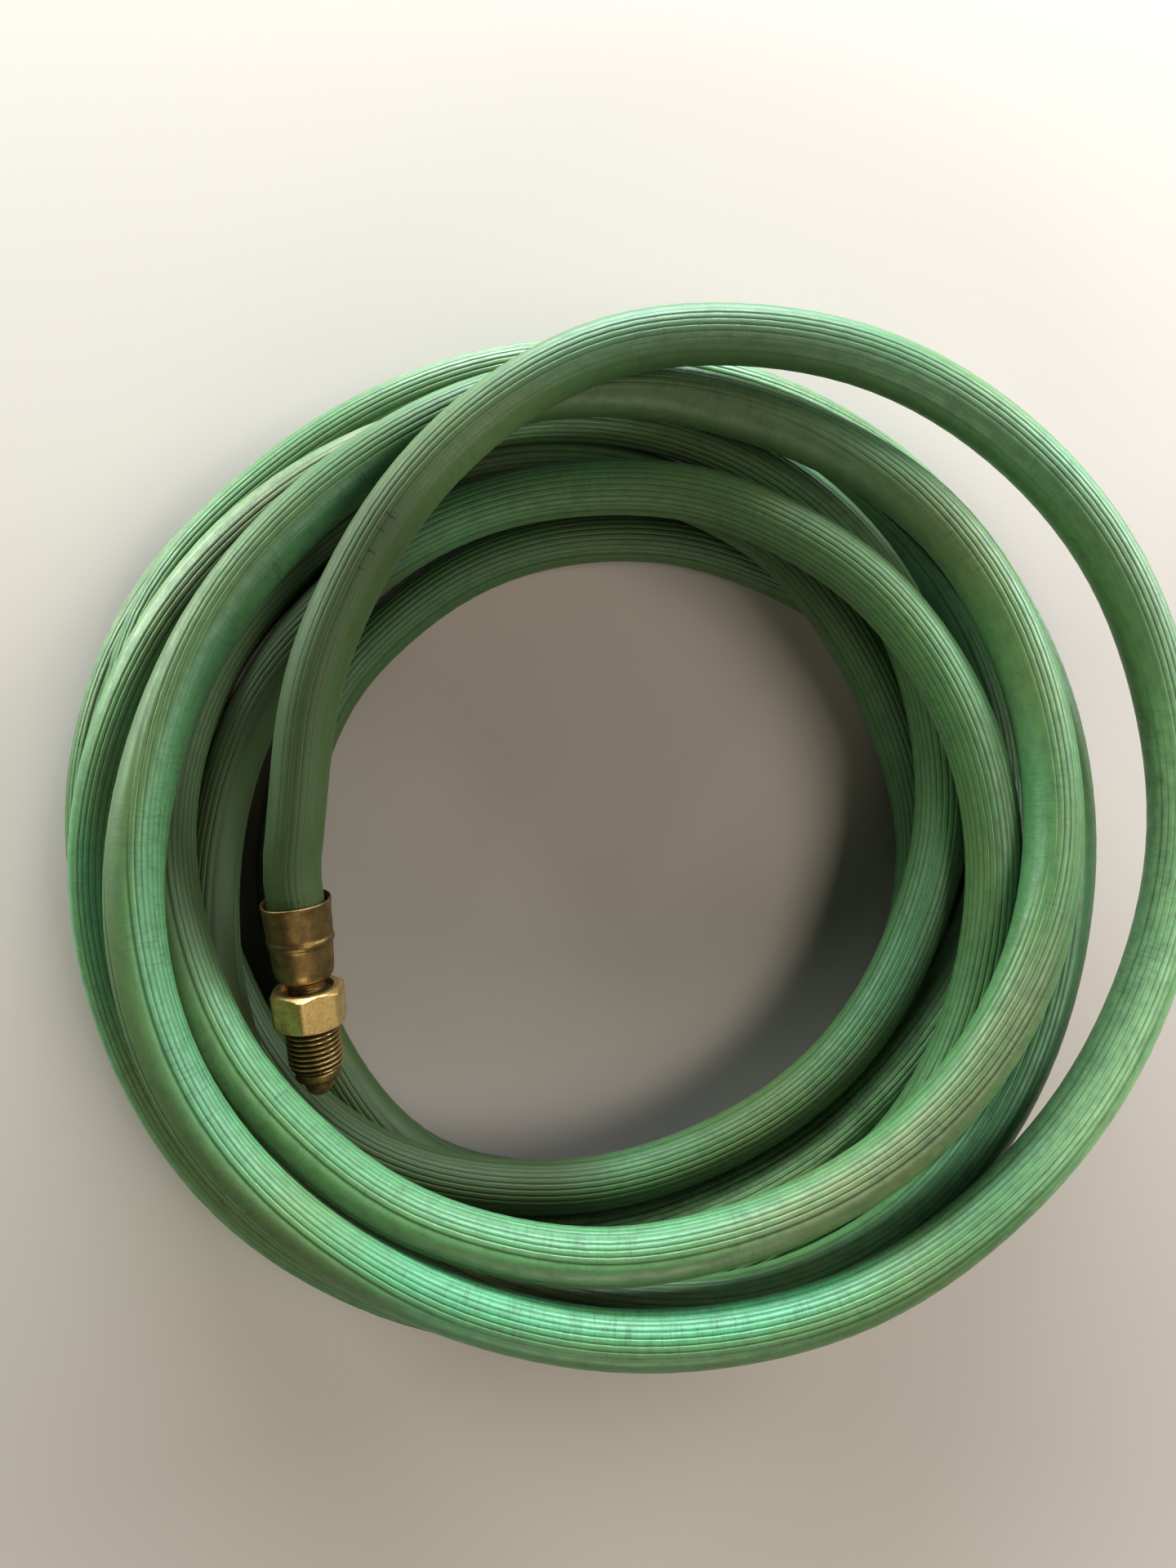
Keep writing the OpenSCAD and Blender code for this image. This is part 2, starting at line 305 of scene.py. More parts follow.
# where the middle of the wide smooth band faces, in degrees from straight up towards the outside of the coil,
# against the coil angle: the hose is wound in with a twist
TWIST = [
    (-30, 268), (0, 268), (20, 270), (45, 273), (62, 277), (75, 274), (90, 271), (110, 271), (140, 271), (165, 270),
    (190, 262), (205, 257), (222, 254), (240, 248), (259, 245), (275, 245), (290, 242), (300, 229), (316, 220), (332, 214),
    (348, 215), (362, 234), (380, 262), (397, 274), (420, 274), (431, 277), (447, 300), (464, 318), (475, 316), (485, 302),
    (497, 287), (540, 286), (550, 272), (562, 254), (578, 244), (596, 235), (614, 230), (633, 226), (651, 222), (669, 222),
    (700, 218), (740, 222), (760, 228), (790, 240), (825, 262), (860, 268), (900, 262), (940, 240), (1000, 185), (1030, 140),
    (1080, 120), (1110, 120), (1150, 120), (1175, 118), (1200, 122), (1250, 150), (1320, 185), (1440, 188), (1470, 181), (1540, 181),
    (1590, 173), (1605, 161), (1640, 133), (1660, 129), (1690, 119), (1710, 117), (1750, 132), (1800, 153), (1830, 151), (1845, 145),
    (1860, 154), (1880, 166), (1915, 189), (1945, 212), (1970, 232), (2000, 246), (2015, 252), (2030, 254), (2050, 244), (2075, 222),
    (2095, 200), (2125, 178), (2140, 163), (2185, 150), (2205, 120), (2220, 106), (2240, 105), (2260, 105), (2290, 100), (2330, 95),
    (2350, 98), (2400, 102), (2450, 104), (2475, 90), (2500, 83), (2560, 72), (2580, 86), (2600, 101), (2640, 101), (2665, 106),
    (2700, 110), (2730, 107), (2770, 105), (2790, 101), (2810, 98), (2830, 96), (2900, 96),
]

# patches where the ribs are nearly pressed or worn flat: coil angle from and to, angle from straight up to the coil's outside
# from and to, amount
PATCHES = [
    (-70, 42, -100, 100, 0.6), (32, 172, -100, -17, 0.75), (366, 440, -100, -19, 0.85), (440, 484, -100, 22, 0.45), (484, 548, -100, -14, 0.8),
]

# soft stains: coil angle from and to, angle from straight up to the coil's outside from and to, amount
# (above nought cleaner and bluish green, below nought dusty and brownish)
STAINS = [
    (318, 425, -115, -20, 0.65), (1430, 1505, -120, 120, -0.35), (2500, 2550, -60, 20, 0.3), (345, 410, 15, 80, -0.25), (2440, 2530, -50, 70, -0.25),
    (2545, 2590, -40, 70, -0.9), (555, 612, -50, 40, -0.6), (296, 345, -10, 80, -0.25), (440, 500, -95, 20, -0.35),
    (1820, 1895, -120, 120, -0.25), (2450, 2530, 35, 110, 0.5), (240, 300, -120, -20, 0.7), (620, 700, -110, -30, 0.4), (2060, 2110, -60, 30, -0.6),
]
# painted shade and painted light: soft darker and more olive places where strands lie in shade, and lighter places
# (below nought) where strands catch more light: coil angle from and to, angle from and to as above, amount
PAINTED_SHADING = [
    (-50, 62, -200, 200, 0.95), (62, 115, -200, 200, 0.4), (168, 218, -200, 200, -0.6), (300, 428, -4, 95, 0.4), (325, 405, -110, -4, 0.2), (425, 500, -110, 40, 0.35), (700, 795, -200, 200, 0.8),
    (795, 910, -200, 200, 0.35), (980, 1090, -200, 200, 0.85), (1090, 1230, -200, 200, 0.55), (1620, 1730, -200, 200, -0.9),
    (2095, 2215, -200, 200, 0.95), (2215, 2300, -200, 200, 0.3), (2475, 2560, 30, 110, -0.2), (2640, 2800, -200, 200, 0.15),
    (2792, 2900, -200, 200, 0.9),
]

coil = np.degrees(np.unwrap(np.arctan2(rings[:, 1], -rings[:, 0])))
arc = np.r_[0, np.cumsum(np.linalg.norm(np.diff(rings, axis=0), axis=1))]
turn = np.interp(coil, *np.array(TWIST, float).T)
soft = np.hanning(9) / np.hanning(9).sum()
turn = np.convolve(np.pad(turn, 4, mode="edge"), soft, mode="valid")


def make_hose():
    n, m = len(rings), len(SEC_A)
    tangent = np.gradient(rings, axis=0)
    tangent /= np.linalg.norm(tangent, axis=1)[:, None]
    up = np.array([0, 0, 1.0]) - tangent[:, 2:3] * tangent
    up /= np.linalg.norm(up, axis=1)[:, None]
    out = np.cross(up, tangent)
    sec = np.radians(SEC_A)
    a = sec[None, :] + np.radians(turn)[:, None]
    side = np.cos(a)[..., None] * up[:, None, :] + np.sin(a)[..., None] * out[:, None, :]
    skin = [np.stack([np.repeat(arc, m), np.tile(R * np.cos(sec), n), np.tile(R * np.sin(sec), n)], 1)]
    facing = (SEC_A[None, :] + turn[:, None] + 180) % 360 - 180
    flat = np.zeros((n, m))
    for c0, c1, a0, a1, amount in PATCHES:
        flat = np.maximum(flat, amount * (smoothstep((coil - c0) / 22 + 0.5) * smoothstep((c1 - coil) / 22 + 0.5))[:, None] * (
            smoothstep((facing - a0) / 10 + 0.5) * smoothstep((a1 - facing) / 10 + 0.5)))
    depth = SEC_D[None, :] * (1 - flat)
    groove = [(depth / GROOVE).ravel()]

    def soft_places(places):
        out = np.zeros((n, m))
        for c0, c1, a0, a1, amount in places:
            out += amount * (smoothstep((coil - c0) / 20 + 0.5) * smoothstep((c1 - coil) / 20 + 0.5))[:, None] * (
                smoothstep((facing - a0) / 30 + 0.5) * smoothstep((a1 - facing) / 30 + 0.5))
        return [out.ravel()]

    # the painted shade and painted light from the table above, per vertex, in an attribute of its own
    stain, painted_shading = soft_places(STAINS), soft_places(PAINTED_SHADING)
    verts = [(rings[:, None, :] + (R - depth)[..., None] * side).reshape(-1, 3)]

    k = np.arange(m)
    k1 = (k + 1) % m
    base = (np.arange(n - 1) * m)[:, None]
    quads = [np.stack([base + k, base + m + k, base + m + k1, base + k1], 2).reshape(-1, 4)]
    # the map: the skin in eleven strips, one above the other, and the cut ends in a twelfth
    strips = 11
    per = math.ceil((n - 1) / strips)
    ring = np.repeat(np.arange(n - 1), m)
    strip = ring // per
    u0 = (ring - strip * per) / per * 0.99
    u1 = (ring - strip * per + 1) / per * 0.99
    va = (SEC_A - SEC_A[0]) / 360
    vb = np.r_[va[1:], 1.0]
    v0 = (strip + 0.03 + 0.94 * np.tile(va, n - 1)) / (strips + 1)
    v1 = (strip + 0.03 + 0.94 * np.tile(vb, n - 1)) / (strips + 1)
    uv = [np.stack([u0, v0, u1, v0, u1, v1, u0, v1], 1).reshape(-1, 4, 2)]
    tris, tri_uv = [], []
    count = n * m
    # each cut end is a ring of rubber round a recess that holds the inner tube, the braid and the barbs
    for end in (0, 1):
        i = -end
        centre, t = rings[i], tangent[i] * (1 - 2 * end)
        deep = (20.3, 22.6)[end]
        loops = [(n - 1) * m * end]
        for along_ in (0.0, deep):
            verts.append(centre + t * along_ + 5.32 * side[i])
            loops.append(count)
            count += m
        verts.append((centre + t * deep)[None, :])
        skin.append(np.tile([arc[i], 0, 0], (2 * m + 1, 1)))
        groove.append(np.zeros(2 * m + 1))
        stain.append(np.zeros(2 * m + 1))
        painted_shading.append(np.zeros(2 * m + 1))
        for x in (0, 1):
            p, q = loops[x], loops[x + 1]
            f = np.stack([p + k, p + k1, q + k1, q + k], 1)
            w0, w1 = k / m * 0.45 + 0.5 * x, (k + 1) / m * 0.45 + 0.5 * x
            y0, y1 = (strips + 0.1 + 0.4 * end) / (strips + 1), (strips + 0.4 + 0.4 * end) / (strips + 1)
            c = np.stack([w0, 0 * w0 + y0, w1, 0 * w0 + y0, w1, 0 * w0 + y1, w0, 0 * w0 + y1], 1).reshape(-1, 4, 2)
            quads.append(f if end == 0 else f[:, ::-1])
            uv.append(c if end == 0 else c[:, ::-1])
        f = np.stack([loops[2] + k, loops[2] + k1, np.full(m, count)], 1)
        mid = np.array([0.97, (strips + 0.25 + 0.4 * end) / (strips + 1)])
        c = mid + 0.012 * np.stack([np.stack([np.cos(sec), np.sin(sec)], 1), np.stack([np.cos(sec[k1]), np.sin(sec[k1])], 1), np.zeros((m, 2))], 1)
        tris.append(f if end == 0 else f[:, ::-1])
        tri_uv.append(c if end == 0 else c[:, ::-1])
        count += 1

    verts = np.concatenate(verts) * MM
    quads, tris = np.concatenate(quads), np.concatenate(tris)
    me = bpy.data.meshes.new("hose")
    me.vertices.add(len(verts))
    me.vertices.foreach_set("co", verts.astype(np.float32).ravel())
    corners = np.concatenate([quads.ravel(), tris.ravel()])
    me.loops.add(len(corners))
    me.loops.foreach_set("vertex_index", corners.astype(np.int32))
    me.polygons.add(len(quads) + len(tris))
    begin = np.concatenate([np.arange(len(quads)) * 4, len(quads) * 4 + np.arange(len(tris)) * 3])
    me.polygons.foreach_set("loop_start", begin.astype(np.int32))
    me.update(calc_edges=True)
    layer = me.uv_layers.new(name="strips")
    flat = np.concatenate([np.concatenate(uv).reshape(-1, 2), np.concatenate(tri_uv).reshape(-1, 2)])
    layer.uv.foreach_set("vector", flat.astype(np.float32).ravel())
    at = me.attributes.new("skin", "FLOAT_VECTOR", "POINT")
    at.data.foreach_set("vector", (np.concatenate(skin) * MM).astype(np.float32).ravel())
    for name, values in (("groove", groove), ("stain", stain), ("painted_shading", painted_shading)):
        at = me.attributes.new(name, "FLOAT", "POINT")
        at.data.foreach_set("value", np.concatenate(values).astype(np.float32))
    me.polygons.foreach_set("use_smooth", np.ones(len(me.polygons), bool))
    me.update()
    return new_object("hose", me, "hose")


hose = make_hose()
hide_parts("hose_coil", "hose_tail_a", "cover_a", "cover_b")


# ---------------------------------------------------------------- brass
def eased(profile):
    """A profile of (r, s, ease) with each corner cut by a curve that starts ease away from it, and points on its long runs."""
    soft = []
    for i, (r, s, ease) in enumerate(profile):
        p = np.array([r, s], float)
        if ease <= 0 or i in (0, len(profile) - 1):
            soft.append(p)
            continue
        a, b = np.array(profile[i - 1][:2]) - p, np.array(profile[i + 1][:2]) - p
        la, lb = np.linalg.norm(a), np.linalg.norm(b)
        p0, p1 = p + a / la * min(ease, 0.48 * la), p + b / lb * min(ease, 0.48 * lb)
        for f in (0, 0.25, 0.5, 0.75, 1):
            soft.append((1 - f) ** 2 * p0 + 2 * f * (1 - f) * p + f**2 * p1)
    fine = [soft[0]]
    for p in soft[1:]:
        start = fine[-1]
        parts = int(np.linalg.norm(p - start) / 0.9) + 1
        for f in range(1, parts + 1):
            fine.append(start + (p - start) * f / parts)
    return np.array(fine)


def closed_skin(name, rows, at, body, sharp=None):
    """A closed skin from rings of points (rows, points, 3) in the fitting's frame; the last ring joins the first."""
    m, n = rows.shape[:2]
    k = np.arange(n)
    faces = np.concatenate([np.stack([i * n + k, i * n + (k + 1) % n, (i + 1) % m * n + (k + 1) % n, (i + 1) % m * n + k], 1) for i in range(m)])
    me = bpy.data.meshes.new(name)
    me.from_pydata(rows.reshape(-1, 3).tolist(), [], faces.tolist())
    bm = bmesh.new()
    bm.from_mesh(me)
    bmesh.ops.recalc_face_normals(bm, faces=bm.faces)
    bm.to_mesh(me)
    bm.free()
    me.transform(at)
    me.polygons.foreach_set("use_smooth", np.ones(len(me.polygons), bool))
    if sharp:
        me.set_sharp_from_angle(angle=math.radians(sharp))
    me.update()
    # places in the fitting's own frame, for the materials
    spot = me.attributes.new("spot", "FLOAT_VECTOR", "POINT")
    spot.data.foreach_set("vector", (rows.reshape(-1, 3) * MM).astype(np.float32).ravel())
    return new_object(name, me, body)


def turned(profile, n, shape=None):
    """Rings of a profile of (r, s) about the fitting's axis."""
    ang = np.arange(n) * 2 * np.pi / n
    r = profile[:, :1] + 0 * ang
    s = profile[:, 1:2] + 0 * ang
    if shape:
        r, s = shape(r, s, ang[None, :])
    return np.stack([r * np.cos(ang), r * np.sin(ang), s], 2)


def ferrule(name, at, phase):
    """Thin sleeve with an open, slightly out of round mouth, one crimp bead and a rounded shoulder."""
    r0 = 9.1
    profile = eased([
        (r0 - 0.62, 0.15, 0), (r0 - 0.32, -0.1, 0.15), (r0 - 0.02, 0.14, 0.15), (r0 - 0.03, 0.7, 0.3), (r0 - 0.3, 2.4, 1.2),
        (r0 - 0.5, 6, 2), (r0 - 0.74, 9.25, 0.5), (r0 - 0.5, 9.75, 0.3), (r0 - 0.42, 10.4, 0.5), (r0 - 0.56, 11.05, 0.3), (r0 - 0.97, 11.6, 0.5),
        (8.0, 14, 1.5), (7.78, 17.5, 1.2), (7.55, 19.1, 0.8), (7.12, 20.2, 0.6), (6.5, 20.97, 0.4), (5.8, 21.38, 0.3), (5.2, 21.5, 0.15), (4.78, 21.5, 0),
        (4.78, 20.3, 0), (6.88, 20.25, 0.1), (6.92, 17.2, 0.4), (7.24, 16.5, 0.4), (7.24, 11.6, 0.4), (7.7, 9, 0.6), (8.14, 4, 1.0)])

    def shape(r, s, a):
        mouth = np.clip(1 - s / 9, 0, 1)
        r = r + mouth * (0.14 * np.cos(2 * a + phase) + 0.05 * np.cos(3 * a + 2 * phase)) + 0.02 * np.cos(5 * a + phase + s * 0.5)
        s = s + mouth**3 * (0.2 * np.cos(a + 3 * phase) + 0.08 * np.cos(3 * a + phase))
        return r, s

    return closed_skin(name, turned(profile, 128, shape), at, "hose")


def nipple(name, at):
    """Barbed shank, spigot with its groove, collar and bullet nose, turned in one piece."""
    pr, sr, cr = 1.6, 4.75, 5.87
    pts = [(pr, 1.2, 0)]
    for i in range(5):
        pts += [(2.95, 1.2 + 3.2 * i, 0), (3.5, 3.9 + 3.2 * i, 0), (3.5, 4.2 + 3.2 * i, 0)]
    pts += [(3.0, 17.4, 0), (3.0, S_BUTT, 0), (sr, S_BUTT, 0), (sr, S_FERR + 0.9, 0.15), (sr - 0.5, S_FERR + 1.1, 0.1),
            (sr - 0.5, S_FERR + 1.6, 0.1), (sr, S_FERR + 1.8, 0.15), (sr, S_COLLAR, 0), (cr - 0.3, S_COLLAR, 0.1), (cr, S_COLLAR + 0.3, 0.25),
            (cr, S_NOSE - 0.7, 0.35), (cr - 0.7, S_NOSE, 0.3), (4.05, S_NOSE + 0.05, 0.15), (3.95, S_NOSE + 0.9, 0.6), (3.72, S_NOSE + 2.1, 0.8),
            (3.3, S_NOSE + 3.1, 0.8), (2.75, S_NOSE + 3.8, 0.5), (2.05, S_TIP, 0.3), (pr, S_TIP - 0.05, 0)]
    return closed_skin(name, turned(eased(pts), 96), at, "hose", 40)


def nut(name, at, body, turn):
    """Hexagon with chamfered corners and a dished back, and the male thread, in one piece."""
    n, bore = 144, 4.8
    ang = np.arange(n) * 2 * np.pi / n
    apothem = 17.46 / 2
    side = (ang - math.radians(turn)) % (math.pi / 3) - math.pi / 6
    hexagon = apothem / np.cos(side)
    # the corners are worn round by 0.25 mm
    corner = apothem / math.cos(math.pi / 6)
    hexagon = np.minimum(hexagon, corner - 0.25 + 0 * ang)
    rows = []

    def row(r, s):
        rows.append(np.stack([r * np.cos(ang), r * np.sin(ang), s + 0 * ang], 1))

    for r, s in ((bore, S_NUT + 2.1), (6.3, S_NUT + 1.75), (6.46, S_NUT + 1.6), (6.86, S_NUT + 0.1), (7.0, S_NUT), (7.6, S_NUT)):
        row(r + 0 * ang, s)
    levels = [0.0, 0.1, 0.25, 0.4, 0.55, 0.7, 0.85, 1.0, 1.15, 1.3, 2.4, 3.8, HEX_L / 2]
    for z in levels + [HEX_L - z for z in levels[-2::-1]]:
        ease = min(z, HEX_L - z)
        row(np.minimum(hexagon - 0.1 * np.clip(1 - ease / 0.1, 0, 1), 8.2 + ease * 1.8), S_NUT + z)
    row(ROOT_R + 0.6 + 0 * ang, S_HEX)
    steps = 104
    for q in range(steps + 1):
        s = S_HEX + 0.1 + (S_FRONT - S_HEX - 0.12) * q / steps
        turns = (s - S_CREST - 0.15) / PITCH - ang / (2 * np.pi)
        far = np.abs(turns - np.round(turns)) * PITCH
        h = np.clip((0.62 - far) / 0.5, 0, 1)
        r = ROOT_R + (THREAD_R - ROOT_R) * (0.5 * h + 0.5 * smoothstep(h)) * smoothstep((s - S_HEX - 0.3) / 1.1)
        r = np.minimum(r, ROOT_R - 0.2 + (THREAD_R - ROOT_R + 0.2) * min(1, (S_FRONT - s) / 1.1))
        row(r, s)
    row(bore + 0.3 + 0 * ang, S_FRONT)
    row(bore + 0 * ang, S_FRONT - 0.3)
    return closed_skin(name, np.array(rows), at, body, 25)


ferrule_a = ferrule("ferrule_sleeve_a", AT_A, 0.7)
ferrule_b = ferrule("ferrule_sleeve_b", AT_B, 2.1)
nipple_a = nipple("nipple_body_a", AT_A)
nipple_b = nipple("nipple_body_b", AT_B)
swivel_a = nut("swivel_nut_a", AT_A, "nut_a", TURN_A)
swivel_b = nut("swivel_nut_b", AT_B, "nut_b", TURN_B)
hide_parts("ferrule_a")
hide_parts("ferrule_b")
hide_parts("nipple_a")
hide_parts("nipple_b")
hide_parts("nut_a")
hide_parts("nut_b")


# ---------------------------------------------------------------- materials
class Graph:
    """A material's nodes, built from the shader back. Numbers and other nodes' outputs go in alike."""

    def __init__(self, name):
        self.mat = bpy.data.materials.new(name)
        self.mat.use_nodes = True
        self.tree = self.mat.node_tree
        self.tree.nodes.clear()
        self.shader = self.node("ShaderNodeBsdfPrincipled")
        end = self.node("ShaderNodeOutputMaterial")
        self.tree.links.new(self.shader.outputs[0], end.inputs[0])

    def node(self, kind, **values):
        n = self.tree.nodes.new(kind)
        for key, v in values.items():
            if hasattr(n, key):
                setattr(n, key, v)
            else:
                self.put(n.inputs[key.replace("_", " ").title()], v)
        return n

    def put(self, socket, v):
        if isinstance(v, bpy.types.NodeSocket):
            self.tree.links.new(v, socket)
        elif isinstance(v, (tuple, list)) and len(v) == 3 and socket.type == "RGBA":
            socket.default_value = (*v, 1)
        else:
            socket.default_value = v

    def sh(self, name, v):
        self.put(self.shader.inputs[name], v)

    def attr(self, name, out="Vector"):
        return self.node("ShaderNodeAttribute", attribute_name=name).outputs[out]

    def math(self, op, a, b=None, c=None, clamp=False):
        n = self.node("ShaderNodeMath", operation=op, use_clamp=clamp)
        for i, v in enumerate((a, b, c)):
            if v is not None:
                self.put(n.inputs[i], v)
        return n.outputs[0]

    def mul(self, a, b):
        return self.math("MULTIPLY", a, b)

    def add(self, a, b):
        return self.math("ADD", a, b)

    def scaled(self, vector, scale, move=(0, 0, 0)):
        n = self.node("ShaderNodeMapping")
        self.put(n.inputs["Vector"], vector)
        n.inputs["Scale"].default_value = scale
        n.inputs["Location"].default_value = move
        return n.outputs[0]

    def noise(self, vector, scale, detail=4.0, rough=0.55, warp=0.0):
        n = self.node("ShaderNodeTexNoise")
        self.put(n.inputs["Vector"], vector)
        n.inputs["Scale"].default_value = scale
        n.inputs["Detail"].default_value = detail
        n.inputs["Roughness"].default_value = rough
        n.inputs["Distortion"].default_value = warp
        return n.outputs[0]

    def cells(self, vector, scale, feature="F1", out="Distance", jitter=1.0):
        n = self.node("ShaderNodeTexVoronoi", feature=feature)
        self.put(n.inputs["Vector"], vector)
        n.inputs["Scale"].default_value = scale
        n.inputs["Randomness"].default_value = jitter
        return n.outputs[out]

    def ramp(self, v, a, b, lo=0.0, hi=1.0, smooth=False):
        n = self.node("ShaderNodeMapRange", interpolation_type="SMOOTHSTEP" if smooth else "LINEAR")
        for key, x in (("Value", v), ("From Min", a), ("From Max", b), ("To Min", lo), ("To Max", hi)):
            self.put(n.inputs[key], x)
        return n.outputs[0]

    def mix(self, f, a, b, how="MIX"):
        n = self.node("ShaderNodeMix", data_type="RGBA", blend_type=how)
        n.clamp_factor = True
        self.put(n.inputs[0], f)
        self.put(n.inputs[6], a)
        self.put(n.inputs[7], b)
        return n.outputs[2]

    def bump(self, height, distance, strength=1.0, normal=None):
        n = self.node("ShaderNodeBump")
        self.put(n.inputs["Height"], height)
        n.inputs["Distance"].default_value = distance
        n.inputs["Strength"].default_value = strength
        if normal is not None:
            self.put(n.inputs["Normal"], normal)
        return n.outputs[0]


def srgb(r, g, b):
    return tuple((x / 255 / 12.92) if x <= 10 else ((x / 255 + 0.055) / 1.055) ** 2.4 for x in (r, g, b))


# short cracks across the hose: coil angle, angle from straight up to the outside, length and width in millimetres
CRACKS = [(56.5, -14, 3.4, 0.5), (54.2, -12, 3.0, 0.3), (51.0, -18, 2.8, 0.26), (48.2, -16, 2.0, 0.2)]


def rubber():
    g = Graph("ribbed green rubber")
    skin = g.attr("skin")
    groove = g.attr("groove", "Fac")
    stain = g.attr("stain", "Fac")
    # broad soft patches: the rubber's green, olive where oil and dust have stained it, bluish where it is clean
    patch = g.noise(g.scaled(skin, (0.4, 1, 1)), 26, 3, 0.55)
    tone = g.mix(g.ramp(patch, 0.42, 0.7, 0.0, 0.8, smooth=True), srgb(86, 121, 76), srgb(98, 116, 68))
    clean = g.noise(g.scaled(skin, (0.35, 1, 1), (3.1, 0.4, 0.2)), 20, 2, 0.5)
    clean = g.add(g.ramp(clean, 0.48, 0.68, 0.0, 0.6, smooth=True), stain)
    tone = g.mix(clean, tone, srgb(72, 131, 90))
    dusty = g.mul(g.mul(stain, -1.0), g.ramp(g.noise(g.scaled(skin, (0.3, 1, 1)), 120, 3, 0.6), 0.3, 0.6, 0.45, 1.0))
    tone = g.mix(dusty, tone, srgb(122, 124, 92))
    # painted shade: darker and more olive where strands lie in shade; painted light: lighter where the amount is below
    # nought
    painted_shading = g.attr("painted_shading", "Fac")
    tone = g.mix(painted_shading, tone, srgb(54, 66, 20))
    tone = g.mix(g.mul(painted_shading, -1.0), tone, srgb(140, 172, 124))
    # fine mottling
    fine = g.noise(g.scaled(skin, (0.5, 1, 1)), 420, 5, 0.6)
    tone = g.mix(g.ramp(fine, 0.42, 0.7, 0.0, 0.42), tone, srgb(48, 78, 48))
    # hairlines across the hose, only a little darker
    hair = g.noise(g.scaled(skin, (1, 0.16, 0.16)), 1100, 3, 0.65)
    where = g.add(g.ramp(g.noise(skin, 60, 2, 0.5), 0.42, 0.6), g.ramp(stain, 0.2, 0.6, 0, 0.8))
    tone = g.mix(g.mul(g.ramp(hair, 0.5, 0.7, 0.0, 0.32), where), tone, srgb(40, 66, 44))
    # dust as light specks
    speck = g.cells(skin, 700)
    some = g.ramp(g.noise(skin, 110, 3, 0.6), 0.62, 0.72)
    tone = g.mix(g.mul(g.ramp(speck, 0.08, 0.16, 0.5, 0.0), some), tone, srgb(170, 186, 150))
    # dirt and painted shade in the grooves, stronger where the rubber is dusty
    low = g.ramp(groove, 0.25, 0.95, smooth=True)
    deep = g.mul(low, g.ramp(stain, -0.8, 0.0, 0.75, 0.4))
    tone = g.mix(deep, tone, srgb(24, 40, 24))
    # cracks
    parts = g.node("ShaderNodeSeparateXYZ")
    g.put(parts.inputs[0], skin)
    wave = g.mul(g.add(g.noise(skin, 700, 3, 0.6), -0.5), 0.0012)
    for c, facing, long, wide in CRACKS:
        b = math.radians(facing - np.interp(c, coil, turn))
        x0, y0, z0 = np.interp(c, coil, arc) * MM, R * math.cos(b) * MM, R * math.sin(b) * MM
        off = g.math("ABSOLUTE", g.add(g.add(parts.outputs[0], -float(x0)), wave))
        dy, dz = g.add(parts.outputs[1], -y0), g.add(parts.outputs[2], -z0)
        round_ = g.math("SQRT", g.add(g.mul(dy, dy), g.mul(dz, dz)))
        mask = g.mul(g.ramp(off, wide * 0.4 * MM, wide * MM, 1, 0), g.ramp(round_, long * 0.3 * MM, long * 0.5 * MM, 1, 0))
        tone = g.mix(g.mul(mask, 0.95), tone, srgb(34, 30, 20))
    g.sh("Base Color", tone)
    dull = g.ramp(painted_shading, 0.0, 1.0)
    g.sh("Roughness", g.add(g.ramp(fine, 0.3, 0.7, 0.37, 0.5), g.mul(dull, 0.2)))
    g.sh("Specular IOR Level", 0.6)
    g.sh("Sheen Weight", 0.04)
    g.sh("Sheen Roughness", 0.4)
    g.sh("Sheen Tint", (0.82, 1.0, 0.9, 1))
    h = g.add(g.add(g.mul(fine, 0.6), g.mul(g.noise(skin, 1500, 2, 0.6), 0.3)), g.mul(hair, 0.3))
    g.sh("Normal", g.bump(h, 0.00012, 0.8))
    return g.mat


def brass(name, tone_a, tone_b, rough_a, rough_b, metallic, bump=0.00006, seed=0.0, thread=False):
    g = Graph(name)
    spot = g.scaled(g.attr("spot"), (1, 1, 1), (seed, seed, seed))
    blotch = g.noise(spot, 260, 5, 0.6)
    fine = g.noise(spot, 1800, 4, 0.6)
    tone = g.mix(g.ramp(blotch, 0.38, 0.64), tone_a, tone_b)
    tone = g.mix(g.ramp(fine, 0.5, 0.75, 0.0, 0.5), tone, srgb(60, 42, 22))
    if thread:
        parts = g.node("ShaderNodeSeparateXYZ")
        g.put(parts.inputs[0], g.attr("spot"))
        radius = g.math("SQRT", g.add(g.mul(parts.outputs[0], parts.outputs[0]), g.mul(parts.outputs[1], parts.outputs[1])))
        front = g.ramp(parts.outputs[2], (S_HEX - 0.1) * MM, (S_HEX + 0.1) * MM)
        crest = g.ramp(radius, (ROOT_R + 0.1) * MM, (THREAD_R - 0.12) * MM)
        # the thread is a darker bronze than the hex, and darker still towards its roots
        thread_tone = g.mix(crest, srgb(66, 54, 34), g.mix(blotch, srgb(188, 158, 106), srgb(150, 124, 80)))
        tone = g.mix(front, tone, thread_tone)
    g.sh("Base Color", tone)
    g.sh("Metallic", metallic)
    g.sh("Roughness", g.ramp(blotch, 0.35, 0.65, rough_a, rough_b))
    g.sh("Normal", g.bump(fine, bump, 0.6))
    return g.mat


def layer_material(name, a, b, rough, weave=0):
    g = Graph(name)
    at = g.node("ShaderNodeTexCoord").outputs["Object"]
    n = g.noise(at, 900, 3, 0.6)
    g.sh("Base Color", g.mix(n, a, b))
    g.sh("Roughness", rough)
    if weave:
        w = g.node("ShaderNodeTexWave", bands_direction="DIAGONAL")
        g.put(w.inputs["Vector"], at)
        w.inputs["Scale"].default_value = weave
        g.sh("Normal", g.bump(w.outputs["Fac"], 0.0002, 0.8))
    return g.mat


def dress(obj, mat):
    obj.data.materials.clear()
    obj.data.materials.append(mat)


